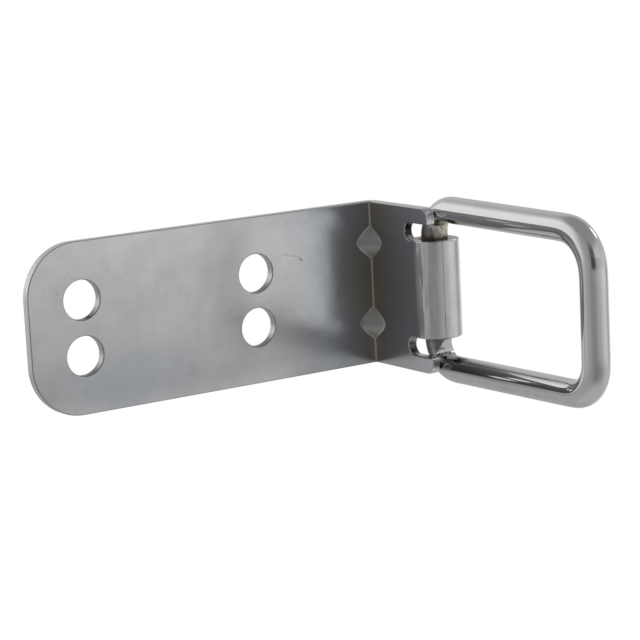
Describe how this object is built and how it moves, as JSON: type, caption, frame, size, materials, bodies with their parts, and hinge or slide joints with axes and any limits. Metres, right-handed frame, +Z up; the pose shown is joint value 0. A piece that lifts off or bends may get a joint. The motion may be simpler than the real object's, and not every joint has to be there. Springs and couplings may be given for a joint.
{
  "type": "hinged ring hasp",
  "caption": "Folded steel strap with bolt holes and pressed gussets, its end rolled into a knuckle that carries a swinging rectangular ring of round rod.",
  "frame": {"origin": "back face of the strap's long leg, at the centre of the four bolt holes", "axes": "+Z up along the ring's pin, +X along the long leg towards the bend, +Y out of the long leg's back face into what it is bolted to"},
  "size_m": [0.132, 0.1026, 0.056],
  "materials": {
    "zinc_plate": "bright zinc plated steel strip, satin, with a faint bluish and yellowish passivation tint",
    "bright_rod": "smooth bright plated round steel rod, mirror-like"
  },
  "bodies": {
    "strap": {"strap": "zinc_plate"},
    "ring": {"ring": "bright_rod"}
  },
  "joints": [
    {"name": "ring_swing", "type": "hinge", "parent": "strap", "child": "ring", "pos_m": [0.0784, -0.0257, 0], "axis": [0, 0, 1], "range_deg": [0, 180]}
  ]
}
